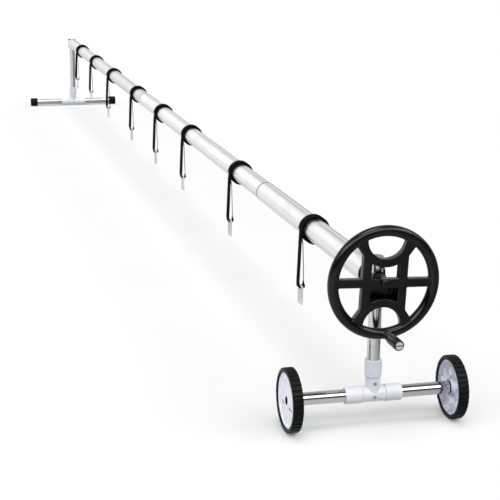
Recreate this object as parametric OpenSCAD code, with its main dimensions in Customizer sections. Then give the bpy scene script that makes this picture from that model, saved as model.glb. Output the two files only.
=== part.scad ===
// Telescopic pool cover reel: a keyed three-section aluminium tube that turns in two T-shaped stands.
// +X runs along the tube towards the handwheel, +Y runs across the stands and +Z points up.
// The origin lies on the floor, in the middle of the reel's length and width.

/* [Reel tube] */
// Outside diameter of the largest tube section
outer_tube_d = 75; // [70:0.5:90]
// Wall of every tube section
tube_wall = 1.5; // [1.3:0.1:2]
// Radial play between one section and the next
tube_play = 0.25; // [0.2:0.05:0.4]
// Length of the outer section
outer_len = 1140; // [900:10:1600]
// Length of the middle section in sight
middle_len = 2380; // [1600:10:2900]
// Length of the inner section in sight
inner_len = 2848; // [1800:10:3500]
// Hidden length of each section inside the next larger one
overlap_len = 150; // [100:5:250]
// Radius of the key groove pressed into the outer section
key_r = 3; // [2.5:0.1:4]
// Height of the groove's centre above the outer section's surface
key_rise = 1.5; // [1:0.1:2]

/* [Reel bearings] */
// Height of the reel axis above the floor
axis_h = 447; // [410:1:560]
// Diameter of both steel shafts
shaft_d = 20; // [16:0.5:22]
// Radial running play of the shafts in their bushes
shaft_play = 0.06; // [0.03:0.01:0.09]
// Length of each plastic end plug inside its tube
plug_len = 60; // [40:1:90]
// Thickness of the end plug flanges
plug_flange_t = 6; // [4:0.5:10]
// How far the black flange stands out beyond the outer section
plug_lip = 3.5; // [2:0.5:6]
// Distance from the near post's axis to the face of the flange
near_gap = 35; // [33:0.5:60]
// Distance from the far post's axis to the end of the inner section
far_gap = 42; // [36:0.5:70]
// Outside diameter of the bearing bushes
bush_d = 26; // [25:0.5:28]
// Flange diameter of the bushes
bush_flange_d = 44; // [36:1:48]
// Axial play between a turning part and a bush
side_play = 0.6; // [0.4:0.1:1.5]

/* [Steel stands] */
// Diameter of the stainless tubes
steel_d = 38; // [31:0.5:46]
// Wall of the stainless tubes
steel_wall = 1.2; // [1:0.1:2]
// Height of the near post above the reel axis
near_rise = 60; // [40:1:90]
// Height of the far post above the reel axis
far_rise = 18; // [17:0.5:30]
// Distance between the middle planes of the road wheels
track = 500; // [420:5:620]
// Width of the far foot over its end caps
far_foot_w = 612; // [500:2:760]
// Wall of the far foot's end caps
cap_wall = 9; // [6:0.5:15]
// Length of the far foot's end caps
cap_len = 46; // [35:1:60]
// Depth of the flat under each end cap
cap_flat = 1; // [0.5:0.5:3]

/* [Tee fittings] */
// Half the length of a tee's straight run
tee_arm = 86; // [75:1:110]
// Height of a tee's stem above its straight run's axis
tee_stem = 106; // [96:1:130]
// Length of the thick collars
tee_collar_len = 50; // [35:1:60]
// Wall of the collars
tee_collar_wall = 6.2; // [5.5:0.1:8]
// Wall of the straight run between its collars
tee_run_wall = 4.2; // [4:0.1:5]
// Wall of the stem below its collar
tee_neck_wall = 3.2; // [3:0.1:4]
// Thickness left between the post and the straight run's bore
tee_seat = 4; // [3:0.5:8]

/* [Road wheels] */
// Diameter over the tyre
wheel_d = 190; // [170:1:240]
// Width of the tyre
tyre_w = 31; // [26:1:40]
// Height of the tyre's section
tyre_h = 13; // [10:0.5:16]
// Number of lugs round the tyre
lug_count = 36; // [24:4:56]
// Depth of the gaps between the lugs
lug_depth = 4; // [1.5:0.5:5]
// Width of the gaps between the lugs
lug_gap = 5.5; // [2.5:0.5:7]
// Depth of the wheel disc below the tyre's side
disc_recess = 7; // [3:0.5:9]
// Number of broad arms on the inner side of a wheel
arm_count = 4; // [3:1:6]
// Width of those arms
arm_w = 21; // [14:1:26]
// Radius of the wheel's hub plate
hub_plate_r = 27; // [22:1:34]
// Diameter of the axle bolts
axle_d = 12; // [10:0.5:14]
// Radius of the recess round the axle bolt's head
bolt_recess_r = 12; // [11:0.5:16]
// Length of the two slots in a wheel's outer face
slot_len = 34; // [24:1:44]
// Height of those slots
slot_h = 5; // [3:0.5:8]
// Distance of those slots below the axle
slot_drop = 17; // [15:1:25]

/* [Handwheel] */
// Diameter over the rim
handwheel_d = 332; // [280:2:380]
// Thickness of the round rim
rim_t = 32; // [26:1:36]
// Distance from the near post's axis to the rim's middle plane
rim_x = 61; // [58:0.5:80]
// Depth of the spokes along the axis
spoke_depth = 24; // [20:1:28]
// Height of the horizontal bar
bar_h = 25; // [22:0.5:32]
// Half the gap between the two upright spokes
upright_in = 41; // [34:0.5:50]
// Width of an upright spoke
upright_w = 26; // [18:0.5:32]
// Radius of the large round windows above and below
lens_r = 57; // [48:0.5:64]
// Height of the windows' centres above and below the bar
lens_rise = 127; // [120:0.5:132]
// Width of the curved arches beside those windows
arch_w = 24; // [16:0.5:28]
// Width added to an upright where it flares into the rim
flare = 18; // [8:0.5:24]
// Diameter of the hub behind the bar
hub_d = 38; // [34:1:54]
// Side of the shaft's squared end
square_w = 14; // [11:0.5:15]
// Diameter of the hand grip
grip_d = 31; // [24:0.5:34]
// Length of the hand grip
grip_len = 95; // [60:1:110]
// Diameter of the grip's spindle
spindle_d = 10; // [8:0.5:12]
// Angle of the grip away from the lower end of the upright spokes
grip_turn = 5.4; // [0:0.1:12]
// Angle at which the handwheel's spokes stand when the reel is at rest
rest_turn = -2.2; // [-10:0.1:10]

/* [Straps] */
// Width of the webbing
webbing_w = 28; // [20:1:32]
// Thickness of the hanging webbing
webbing_t = 3; // [2:0.5:4]
// Width of the turns wound round the tube
band_w = 46; // [30:1:56]
// Thickness of the turns wound round the tube
band_t = 9; // [4:0.5:11]
// Drop from the reel axis to the bottom of the webbing loop
loop_drop = 193; // [170:1:240]
// Half the distance between the two hanging lengths at the bottom of a loop
loop_half = 9.5; // [8:0.5:12]
// Distance between the two hanging lengths at the top of a loop
loop_top = 8; // [6:0.5:12]
// Angle by which the rear length of a loop is twisted
twist = 14; // [0:1:20]
// Distance by which the front length leans outwards between the tube and the clip
stand_off = 2.5; // [0.5:0.5:5]
// Width, thickness and height of a cover clip
clip_size = [43, 6, 64];
// Radius of the snap stud's hole in a cover clip
clip_hole_r = 3; // [2:0.5:4]

/* [Hidden] */
$fn = 64;

// Places along the reel, measured from the near post's axis first
seat = 0.05;
soft_gap = 0.3;
steel_r = steel_d/2;
grip_x0 = rim_x + rim_t/2 + 7;
grip_x1 = grip_x0 + grip_len;
head_proud = 1;
housing_half_x = steel_r + 3;
housing_half_y = steel_r + 7;
far_bush_reach = housing_half_x + 5;
shaft_tip = far_bush_reach + 7;
retainer_tip = shaft_tip + 3;
housing_low = axis_h - 32;
housing_top = axis_h + far_rise + 5;
span = near_gap + plug_flange_t + outer_len + middle_len + inner_len + far_gap;
x_near = (span + retainer_tip - grip_x1 - head_proud)/2;
x_far = x_near - span;
x_outer = x_near - near_gap - plug_flange_t;
x_middle = x_outer - outer_len;
x_inner = x_middle - middle_len;
x_end = x_inner - inner_len;

// Heights and radii shared by several pieces
wheel_r = wheel_d/2;
steel_in_r = steel_r - steel_wall;
shaft_r = shaft_d/2;
bush_r = bush_d/2;
cap_r = steel_r + cap_wall;
far_base_h = cap_r - cap_flat;
tee_run_r = steel_r + tee_run_wall;
tee_neck_r = steel_r + tee_neck_wall;
tee_collar_r = steel_r + tee_collar_wall;
near_base_h = wheel_r;
axle_r = axle_d/2;
disc_out = tyre_w/2 - disc_recess;
hub_proud = 1;
slot_depth = 5;
hub_face_in = track/2 - disc_out - hub_proud;
plug_face_t = 3;
tee_pad_r = 10.5;
base_half = hub_face_in - side_play - plug_face_t;
head_seat = track/2 + 2;

// Nested tube sections: number 0 is the outer one, 1 the middle one and 2 the inner one
key_angles = [90, 210, 330];
key_centre = outer_tube_d/2 + key_rise;
function section_r(k) = outer_tube_d/2 - k*(tube_wall + tube_play);
function groove_r(k) = key_r + k*(tube_wall + tube_play);
lock_inset = 30;

post_screw_rise = 33;
post_screw_turn = 35;

// Handwheel places and radii
rim_r = handwheel_d/2 - rim_t/2;
window_r = handwheel_d/2 - rim_t;
spoke_x0 = x_near + rim_x - spoke_depth/2;
spoke_x1 = x_near + rim_x + spoke_depth/2;
bush_face = steel_r + 6;
hub_x0 = x_near + bush_face + side_play;
square_x0 = hub_x0 + 14;
square_x1 = spoke_x1 - 11;
panel_t = 4;
hub_nose_r = 12;
panel_x0 = hub_x0 + 1;
grip_angle = -90 + grip_turn + rest_turn;
grip_y = rim_r*cos(grip_angle);
grip_z = axis_h + rim_r*sin(grip_angle);
spindle_r = spindle_d/2;
head_r = 11;
head_t = 4;

// Straps: share of each section's length in sight at which a strap is wound on
outer_straps = [0.487];
middle_straps = [0.16, 0.532, 0.804];
inner_straps = [0.079, 0.359, 0.602, 0.827];
strap_x = concat(
    [for (s = outer_straps) x_outer - s*outer_len],
    [for (s = middle_straps) x_middle - s*middle_len],
    [for (s = inner_straps) x_inner - s*inner_len]
);
strap_section = [0, 1, 1, 1, 2, 2, 2, 2];
function band_in_r(k) = section_r(k) + soft_gap;
function band_out_r(k) = band_in_r(k) + band_t;
function tail_y(k) = -(band_out_r(k) + soft_gap + webbing_t/2);
function clip_y(k) = tail_y(k) - stand_off + loop_half;
clip_bar = 5;
clip_slot_h = webbing_t + 3;
slot_side = 1;
clip_top = -loop_drop + webbing_t/2 + soft_gap + clip_bar;

// Lays a shape drawn in the YZ plane at x, thickened towards +X
module across_x(x, length) {
    translate([x, 0, 0])
        rotate([90, 0, 90])
            linear_extrude(length)
                children();
}

// Cylinder along X between two places, on the line y, z
module rod_x(x0, x1, r, y = 0, z = axis_h) {
    translate([x0, y, z])
        rotate([0, 90, 0])
            cylinder(h = x1 - x0, r = r);
}

// Cylinder along Y between two places, on the line x, z
module rod_y(y0, y1, r, x, z) {
    translate([x, y0, z])
        rotate([-90, 0, 0])
            cylinder(h = y1 - y0, r = r);
}

// Upright cylinder between two heights
module rod_z(z0, z1, r, x, y = 0) {
    translate([x, y, z0])
        cylinder(h = z1 - z0, r = r);
}

// Round disc with the three key grooves cut into its edge
module keyed_disc(r, groove) {
    difference() {
        circle(r);
        for (a = key_angles)
            rotate(a)
                translate([key_centre, 0])
                    circle(groove);
    }
}

// One keyed tube section between two places along X
module keyed_tube(k, x0, x1) {
    translate([0, 0, axis_h])
        across_x(x0, x1 - x0)
            difference() {
                keyed_disc(section_r(k), groove_r(k));
                keyed_disc(section_r(k) - tube_wall, groove_r(k) + tube_wall);
            }
}

// Body of an end plug, which fills section k between two places
module keyed_plug(k, x0, x1) {
    translate([0, 0, axis_h])
        across_x(x0, x1 - x0)
            keyed_disc(section_r(k) - tube_wall - seat, groove_r(k) + tube_wall + seat);
}

// ---------- stands ----------

// Upright stainless tube with a cross hole for the bushes and a hole for the tee's screw
module post(x, base_h, z1) {
    z0 = base_h + steel_r + tee_seat;
    difference() {
        rod_z(z0, z1, steel_r, x);
        rod_z(z0 - 1, z1 + 1, steel_in_r, x);
        rod_x(x - steel_r - 1, x + steel_r + 1, bush_r + seat);
        tee_screw_pair(x, base_h, seat);
    }
}

module near_post() {
    color("silver")
        difference() {
            post(x_near, near_base_h, axis_h + near_rise);
            post_screw_shape(seat);
        }
}

// Screw near the top of the near post, which keeps the bushes' carrier from turning
module post_screw_shape(play = 0) {
    translate([x_near, 0, axis_h + post_screw_rise])
        rotate([0, 0, post_screw_turn])
            rotate([0, 90, 0]) {
                translate([0, 0, steel_in_r - 3])
                    cylinder(h = steel_wall + 4, r = 2 + play);
                translate([0, 0, steel_r + play])
                    cylinder(h = 2.4, r = 3.8 + play);
            }
}

module post_screw() {
    color("dimgray")
        post_screw_shape();
}

module near_post_cap() {
    top = axis_h + near_rise;
    color("lightgray") {
        rod_z(top - 14, top, steel_in_r - seat, x_near);
        rod_z(top, top + 1.5, steel_r, x_near);
        translate([x_near, 0, top + 1.5])
            cylinder(h = 1.5, r1 = steel_r, r2 = steel_r - 2);
    }
}

// Plastic tee: straight run along Y, stem upwards, thick collars at its three ends
module tee(x, base_h) {
    step = 2;
    pad_y = tee_arm - tee_collar_len - tee_pad_r - 1;
    difference() {
        union() {
            rod_y(-tee_arm, tee_arm, tee_run_r, x, base_h);
            rod_z(base_h, base_h + tee_stem, tee_neck_r, x);
            for (side = [-1, 1])
                translate([x, side*tee_arm, base_h])
                    rotate([side*90, 0, 0])
                        tee_collar(tee_run_r, step);
            translate([x, 0, base_h + tee_stem])
                rotate([180, 0, 0])
                    tee_collar(tee_neck_r, step);
            rod_x(x + steel_r, x + tee_run_r + 0.2, tee_pad_r, pad_y, base_h);
        }
        rod_y(-tee_arm - 1, tee_arm + 1, steel_r + seat, x, base_h);
        rod_z(base_h + steel_r + tee_seat, base_h + tee_stem + 1, steel_r + seat, x);
        tee_screw_pair(x, base_h, seat);
    }
}

// Collar that starts at a tee's mouth and tapers into a neck of radius neck_r
module tee_collar(neck_r, step) {
    mouth = 1.5;
    cylinder(h = mouth, r1 = tee_collar_r - 1, r2 = tee_collar_r);
    translate([0, 0, mouth])
        cylinder(h = tee_collar_len - mouth, r = tee_collar_r);
    translate([0, 0, tee_collar_len])
        cylinder(h = step, r1 = tee_collar_r, r2 = neck_r);
}

module near_tee() {
    color("whitesmoke")
        tee(x_near, near_base_h);
}

// The two screws that hold the post and the cross tube in a tee
module tee_screw_pair(x, base_h, play = 0) {
    tee_screw(x, base_h + 36, tee_neck_r, play);
    tee_screw(x, base_h - 4, tee_run_r, play);
}

// One screw that enters a fitting of radius body_r from its +X side, its head sunk to half its height
module tee_screw(x, z, body_r, play) {
    rod_x(x + steel_in_r - 3, x + body_r, 2.2 + play, 0, z);
    rod_x(x + body_r - 1.4 - play, x + body_r + 1.2, 4.6 + play, 0, z);
}

module near_tee_screws() {
    color("gray")
        tee_screw_pair(x_near, near_base_h);
}

module near_base_tube() {
    color("silver")
        base_tube(x_near, near_base_h, base_half);
}

// Stainless tube along Y, open at both ends, with a hole for the tee's screw
module base_tube(x, z, half) {
    difference() {
        rod_y(-half, half, steel_r, x, z);
        rod_y(-half - 1, half + 1, steel_in_r, x, z);
        tee_screw_pair(x, z, seat);
    }
}

// Two flanged bushes that meet inside a post; the flanges end at reach from its axis
module bush_pair(x, reach, flange_t, flange_r, saddle_r) {
    for (side = [0, 180])
        translate([x, 0, 0])
            rotate([0, 0, side])
                difference() {
                    union() {
                        rod_x(1, reach, bush_r);
                        rod_x(reach - flange_t, reach, flange_r);
                    }
                    rod_x(0, reach + 1, shaft_r + shaft_play);
                    if (saddle_r > 0)
                        difference() {
                            rod_z(axis_h - flange_r - 1, axis_h + flange_r + 1, saddle_r, 0);
                            rod_x(0, reach, bush_r);
                        }
                }
}

module near_bushes() {
    color([0.1, 0.1, 0.1])
        bush_pair(x_near, bush_face, bush_face - 8, bush_flange_d/2, steel_r + seat);
}

// Plastic plug in the end of the near cross tube, with the axle bolt's seat
module axle_plug() {
    difference() {
        union() {
            rod_y(base_half - 30, base_half, steel_in_r - seat, 0, 0);
            rod_y(base_half, base_half + plug_face_t, steel_r + 0.5, 0, 0);
        }
        rod_y(base_half - 31, base_half + plug_face_t + 1, axle_r + seat, 0, 0);
    }
}

// Puts a piece drawn for the +Y end of the axle on either end
module at_axle(side) {
    translate([x_near, 0, near_base_h])
        rotate([0, 0, side > 0 ? 0 : 180])
            children();
}

module axle_plug_left() {
    color([0.12, 0.12, 0.12])
        at_axle(-1)
            axle_plug();
}

module axle_plug_right() {
    color([0.12, 0.12, 0.12])
        at_axle(1)
            axle_plug();
}

// Axle bolt: a plain shank and a low head sunk into the wheel
module axle_bolt() {
    rod_y(base_half - 30, head_seat, axle_r, 0, 0);
    rod_y(head_seat, head_seat + 4, axle_r + 3, 0, 0);
}

module axle_bolt_left() {
    color("dimgray")
        at_axle(-1)
            axle_bolt();
}

module axle_bolt_right() {
    color("dimgray")
        at_axle(1)
            axle_bolt();
}

// ---------- road wheels ----------

// Revolves a profile drawn as radius and distance along the axle about the +Y end's axle
module turned_wheel() {
    translate([0, track/2, 0])
        rotate([-90, 0, 0])
            rotate_extrude()
                children();
}

// Plastic wheel: flat disc outside; hub plate, broad arms and rim band inside
module road_wheel() {
    seat_r = wheel_r - tyre_h;
    difference() {
        union() {
            turned_wheel() {
                square([seat_r - 1, disc_out]);
                translate([seat_r - 7, -tyre_w/2 + 4])
                    square([7, tyre_w - 8]);
                translate([0, -disc_out - hub_proud])
                    square([hub_plate_r, 2*(disc_out + hub_proud)]);
            }
            for (i = [0 : arm_count - 1])
                translate([0, track/2, 0])
                    rotate([0, i*360/arm_count, 0])
                        translate([10, -disc_out, -arm_w/2])
                            cube([seat_r - 16, disc_out + 1, arm_w]);
        }
        rod_y(track/2 - tyre_w, track/2 + tyre_w, axle_r + shaft_play, 0, 0);
        rod_y(head_seat - side_play, track/2 + tyre_w, bolt_recess_r, 0, 0);
        for (side = [-1, 1]) {
            rod_y(track/2 - tyre_w, track/2 + 3, 3, 0, side*(hub_plate_r - 7));
            translate([side*slot_len - slot_len/2, track/2 + disc_out - slot_depth, -slot_drop - slot_h/2])
                cube([slot_len, slot_depth + 2*hub_proud, slot_h]);
        }
    }
}

// Tyre with chamfered shoulders and gaps between its lugs
module tyre() {
    seat_r = wheel_r - tyre_h + seat;
    shoulder = 3;
    difference() {
        turned_wheel()
            polygon([
                [seat_r, -tyre_w/2], [wheel_r - shoulder, -tyre_w/2], [wheel_r, -tyre_w/2 + shoulder],
                [wheel_r, tyre_w/2 - shoulder], [wheel_r - shoulder, tyre_w/2], [seat_r, tyre_w/2]
            ]);
        for (i = [0 : lug_count - 1])
            translate([0, track/2, 0])
                rotate([0, (i + 0.5)*360/lug_count, 0])
                    translate([wheel_r - lug_depth, -tyre_w/2 - 1, -lug_gap/2])
                        cube([lug_depth + 1, tyre_w + 2, lug_gap]);
    }
}

module wheel_left() {
    color("white")
        at_axle(-1)
            road_wheel();
}

module wheel_right() {
    color("white")
        at_axle(1)
            road_wheel();
}

module tyre_left() {
    color([0.08, 0.08, 0.08])
        at_axle(-1)
            tyre();
}

module tyre_right() {
    color([0.08, 0.08, 0.08])
        at_axle(1)
            tyre();
}

// ---------- reel ----------

module outer_tube() {
    color("gainsboro")
        difference() {
            keyed_tube(0, x_middle, x_outer);
            lock_screw(1, x_middle + lock_inset, seat);
        }
}

module middle_tube() {
    color("gainsboro")
        difference() {
            keyed_tube(1, x_inner, x_middle + overlap_len);
            lock_screw(2, x_inner + lock_inset, seat);
        }
}

module inner_tube() {
    color("gainsboro")
        keyed_tube(2, x_end, x_inner + overlap_len);
}

module outer_end_plug() {
    color([0.08, 0.08, 0.08])
        difference() {
            union() {
                keyed_plug(0, x_outer - plug_len, x_outer);
                rod_x(x_outer, x_outer + plug_flange_t, section_r(0) + plug_lip);
                rod_x(x_outer, x_near - bush_face - side_play, shaft_r + 6);
            }
            rod_x(x_outer - plug_len - 1, x_near, shaft_r);
        }
}

module inner_end_plug() {
    color("lightgray")
        difference() {
            union() {
                keyed_plug(2, x_end, x_end + plug_len);
                rod_x(x_end - 3, x_end, section_r(2));
                rod_x(x_far + far_bush_reach + side_play, x_end, shaft_r + 6);
            }
            rod_x(x_far, x_end + plug_len + 1, shaft_r);
        }
}

module drive_shaft() {
    color("darkgray")
        difference() {
            union() {
                rod_x(x_outer - plug_len, square_x0, shaft_r);
                turned_with_spokes()
                    translate([square_x0 - 2, -square_w/2, axis_h - square_w/2])
                        cube([square_x1 - square_x0 + 2, square_w, square_w]);
            }
            rod_x(square_x1 - 24, square_x1 + 1, 4);
        }
}

module far_shaft() {
    color("darkgray")
        rod_x(x_far - shaft_tip, x_end + plug_len, shaft_r);
}

// Push-on retainer on the free end of the far shaft
module shaft_retainer() {
    color([0.1, 0.1, 0.1])
        difference() {
            rod_x(x_far - retainer_tip, x_far - far_bush_reach - side_play, shaft_r + 4);
            rod_x(x_far - shaft_tip, x_far, shaft_r);
        }
}

// Set screw that clamps section k in section k - 1, in the key groove on the lower side
module lock_screw(k, x, play = 0) {
    tip = key_centre - groove_r(k - 1) - tube_wall;
    translate([x, 0, axis_h])
        rotate([key_angles[2], 0, 0])
            rotate([-90, 0, 0])
                translate([0, 0, tip]) {
                    translate([0, 0, -play])
                        cylinder(h = tube_wall + 1.5, r = 1.6 + play);
                    if (play == 0)
                        translate([0, 0, tube_wall + 1])
                            cylinder(h = 1.6, r = 2);
                }
}

module outer_lock_screw() {
    color("gray")
        lock_screw(1, x_middle + lock_inset);
}

module middle_lock_screw() {
    color("gray")
        lock_screw(2, x_inner + lock_inset);
}

// ---------- handwheel ----------

// Flat outline of all spokes, drawn in Y and height above the axis
module spoke_outline() {
    upright_out = upright_in + upright_w;
    spoke_end = window_r + 6;
    flare_z = sqrt(pow(window_r, 2) - pow(upright_out + flare, 2));
    intersection() {
        circle(spoke_end);
        difference() {
            union() {
                translate([-spoke_end, -bar_h/2])
                    square([2*spoke_end, bar_h]);
                for (side = [-1, 1])
                    translate([side*(upright_in + upright_w/2) - upright_w/2, -spoke_end])
                        square([upright_w, 2*spoke_end]);
                for (up = [-1, 1])
                    intersection() {
                        translate([0, up*lens_rise])
                            circle(lens_r + arch_w);
                        square([2*upright_out, 2*spoke_end], center = true);
                    }
                for (side = [-1, 1], up = [-1, 1])
                    polygon([
                        [side*(upright_out - 1), up*(flare_z - 1.4*flare)],
                        [side*upright_out, up*(flare_z - 1.4*flare)],
                        [side*(upright_out + flare), up*flare_z],
                        [side*(upright_out + flare), up*spoke_end],
                        [side*(upright_out - 1), up*spoke_end]
                    ]);
            }
            for (up = [-1, 1])
                translate([0, up*lens_rise])
                    circle(lens_r);
        }
    }
}

// Turns a shape about the reel axis to the handwheel's rest angle
module turned_with_spokes() {
    translate([0, 0, axis_h])
        rotate([rest_turn, 0, 0])
            translate([0, 0, -axis_h])
                children();
}

// Moulded panel that closes the lower middle window behind the spokes
module hub_panel() {
    edge = upright_in + 6;
    z0 = axis_h - lens_rise + lens_r + 4;
    z1 = axis_h - bar_h/2 + 6;
    difference() {
        translate([panel_x0, -edge, z0])
            cube([spoke_x0 - panel_x0 + 1, 2*edge, z1 - z0]);
        translate([panel_x0 + panel_t, -upright_in, z0 + 6])
            cube([spoke_depth, 2*upright_in, z1 - z0 - 12]);
    }
}

module handwheel() {
    color([0.09, 0.09, 0.09])
        difference() {
            union() {
                translate([x_near + rim_x, 0, axis_h])
                    rotate([0, 90, 0])
                        rotate_extrude($fn = 96)
                            translate([rim_r, 0])
                                circle(rim_t/2);
                turned_with_spokes() {
                    translate([0, 0, axis_h])
                        across_x(spoke_x0, spoke_depth)
                            spoke_outline();
                    hub_panel();
                }
                rod_x(hub_x0, hub_x0 + 7, hub_d/2);
                translate([hub_x0 + 7, 0, axis_h])
                    rotate([0, 90, 0])
                        cylinder(h = spoke_x0 - hub_x0 - 6, r1 = hub_d/2 - 1, r2 = hub_nose_r);
                rod_x(x_near + rim_x, x_near + grip_x0 - side_play, spindle_r + 4, grip_y, grip_z);
            }
            rod_x(hub_x0 - 1, square_x0, shaft_r + seat);
            turned_with_spokes()
                translate([square_x0 - 1, -square_w/2 - seat, axis_h - square_w/2 - seat])
                    cube([square_x1 - square_x0 + 1, square_w + 2*seat, square_w + 2*seat]);
            rod_x(square_x1 - 1, spoke_x1 + 1, 4.5);
            rod_x(x_near + rim_x, x_near + grip_x1, spindle_r, grip_y, grip_z);
        }
}

module handwheel_bolt() {
    color("gray") {
        rod_x(square_x1 - 22, spoke_x1 + 1, 4);
        rod_x(spoke_x1, spoke_x1 + 1.6, 8);
        translate([spoke_x1 + 1, 0, axis_h])
            rotate([0, 90, 0])
                cylinder(h = 5.8, r = 7, $fn = 6);
    }
}

module bolt_cap() {
    length = 11;
    radius = 12.5;
    rounding = 3;
    color([0.09, 0.09, 0.09])
        difference() {
            union() {
                rod_x(spoke_x1, spoke_x1 + length - rounding, radius);
                translate([spoke_x1 + length - rounding, 0, axis_h])
                    rotate([0, 90, 0])
                        cylinder(h = rounding, r1 = radius, r2 = radius - rounding);
            }
            rod_x(spoke_x1 - 1, spoke_x1 + 8, 8.4);
        }
}

// Shoulder screw with a slotted chrome head on which the grip turns
module grip_spindle() {
    face = x_near + grip_x1 + head_proud;
    slot_w = 3.2;
    slot_t = 2;
    color("lightgray")
        difference() {
            union() {
                rod_x(x_near + rim_x, face - head_t, spindle_r, grip_y, grip_z);
                rod_x(face - head_t, face, head_r, grip_y, grip_z);
            }
            translate([face - slot_t, grip_y - head_r - 1, grip_z - slot_w/2])
                cube([slot_t + 1, 2*head_r + 2, slot_w]);
        }
}

module hand_grip() {
    end_r = grip_d/2 - 1.9;
    x0 = x_near + grip_x0;
    x1 = x_near + grip_x1;
    recess = head_t - head_proud + side_play;
    color([0.09, 0.09, 0.09])
        difference() {
            union() {
                translate([x0, grip_y, grip_z])
                    rotate([0, 90, 0])
                        cylinder(h = 10, r1 = end_r - 2, r2 = grip_d/2);
                rod_x(x0 + 10, x1 - 3, grip_d/2, grip_y, grip_z);
                translate([x1 - 3, grip_y, grip_z])
                    rotate([0, 90, 0])
                        cylinder(h = 3, r1 = grip_d/2, r2 = end_r);
            }
            rod_x(x0 - 1, x1 + 1, spindle_r + shaft_play, grip_y, grip_z);
            rod_x(x1 - recess, x1 + 1, head_r + 0.4, grip_y, grip_z);
        }
}

// ---------- far stand ----------

module far_post() {
    color("silver")
        post(x_far, far_base_h, axis_h + far_rise);
}

module far_tee() {
    color("whitesmoke")
        tee(x_far, far_base_h);
}

module far_tee_screws() {
    color("gray")
        tee_screw_pair(x_far, far_base_h);
}

module far_base_tube() {
    color("silver")
        base_tube(x_far, far_base_h, far_foot_w/2 - 5);
}

// Outline of the far bearing housing, with rounded corners
module housing_outline() {
    corner = 6;
    for (sx = [-1, 1], sy = [-1, 1])
        translate([sx*(housing_half_x - corner), sy*(housing_half_y - corner)])
            circle(corner);
    square([2*housing_half_x, 2*(housing_half_y - corner)], center = true);
    square([2*(housing_half_x - corner), 2*housing_half_y], center = true);
}

module far_housing() {
    color("whitesmoke")
        difference() {
            translate([x_far, 0, housing_low])
                linear_extrude(housing_top - housing_low)
                    housing_outline();
            rod_z(housing_low - 1, axis_h + far_rise, steel_r + seat, x_far);
            rod_x(x_far - 30, x_far + 30, bush_r + seat);
            housing_bolt_set(seat);
        }
}

// Four corner bolts in the top of the far housing
module housing_bolt_set(play = 0) {
    for (sx = [-1, 1], sy = [-1, 1])
        translate([x_far + sx*(housing_half_x - 7.5), sy*(housing_half_y - 7.5), 0]) {
            rod_z(housing_top - 14 - play, housing_top, 2.5 + play, 0);
            if (play == 0)
                rod_z(housing_top, housing_top + 6, 6.5, 0);
        }
}

module housing_bolts() {
    color([0.1, 0.1, 0.1])
        housing_bolt_set();
}

module far_bushes() {
    color([0.1, 0.1, 0.1])
        bush_pair(x_far, far_bush_reach, 5 - seat, bush_r + 4, 0);
}

// Rubber cap over one end of the far cross tube, with a flat underneath
module far_cap(side) {
    outer = far_foot_w/2;
    translate([x_far, 0, far_base_h])
        rotate([0, 0, side > 0 ? 0 : 180])
            difference() {
                union() {
                    rod_y(outer - cap_len, outer - 2, cap_r, 0, 0);
                    translate([0, outer - 2, 0])
                        rotate([-90, 0, 0])
                            cylinder(h = 2, r1 = cap_r, r2 = cap_r - 2);
                }
                rod_y(outer - cap_len - 1, outer - 5, steel_r + seat, 0, 0);
                translate([-2*cap_r, outer - cap_len - 1, -far_base_h - 10])
                    cube([4*cap_r, cap_len + 2, 10]);
            }
}

module far_cap_left() {
    color([0.08, 0.08, 0.08])
        far_cap(-1);
}

module far_cap_right() {
    color([0.08, 0.08, 0.08])
        far_cap(1);
}

// ---------- straps ----------

// Webbing wound round section k at x
module strap_band(k, x) {
    translate([0, 0, axis_h])
        across_x(x - band_w/2, band_w)
            difference() {
                circle(band_out_r(k));
                circle(band_in_r(k));
            }
}

module strap_band_outer() {
    color([0.07, 0.07, 0.07])
        strap_band(strap_section[0], strap_x[0]);
}

module strap_bands_middle() {
    color([0.07, 0.07, 0.07])
        for (i = [1 : 3])
            strap_band(strap_section[i], strap_x[i]);
}

module strap_bands_inner() {
    color([0.07, 0.07, 0.07])
        for (i = [4 : 7])
            strap_band(strap_section[i], strap_x[i]);
}

// Flat ribbon of even thickness along a path, with round joints
module ribbon(path, thick) {
    for (i = [0 : len(path) - 2]) {
        step = path[i + 1] - path[i];
        translate(path[i])
            rotate(atan2(step[1], step[0]))
                translate([0, -thick/2])
                    square([norm(step), thick]);
    }
    for (p = path)
        translate(p)
            circle(thick/2);
}

// Hanging loop of webbing: down from the tube, through the clip's slot and up again
module strap_tail(i) {
    k = strap_section[i - 1];
    y0 = tail_y(k) - stand_off;
    y1 = y0 + 2*loop_half;
    y2 = y0 + loop_top;
    corner = 5;
    reach = webbing_w/2*sin(twist) + webbing_t/2;
    under = -sqrt(pow(band_out_r(k), 2) - pow(y2 + reach, 2)) - soft_gap - webbing_t/2;
    low = -loop_drop + corner;
    lean = atan2(y1 - y2, under - low);
    color([0.07, 0.07, 0.07])
        translate([strap_x[i - 1], 0, axis_h]) {
            across_x(-webbing_w/2, webbing_w)
                ribbon([
                    [tail_y(k), 0], [y0, low], [y0 + corner, -loop_drop],
                    [y1 - corner, -loop_drop], [y1, low]
                ], webbing_t);
            translate([0, y1, low])
                rotate([lean, 0, 0])
                    rotate([0, 0, -twist])
                        translate([-webbing_w/2, -webbing_t/2, -webbing_t/2])
                            cube([webbing_w, webbing_t, norm([y1 - y2, under - low])]);
        }
}

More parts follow.
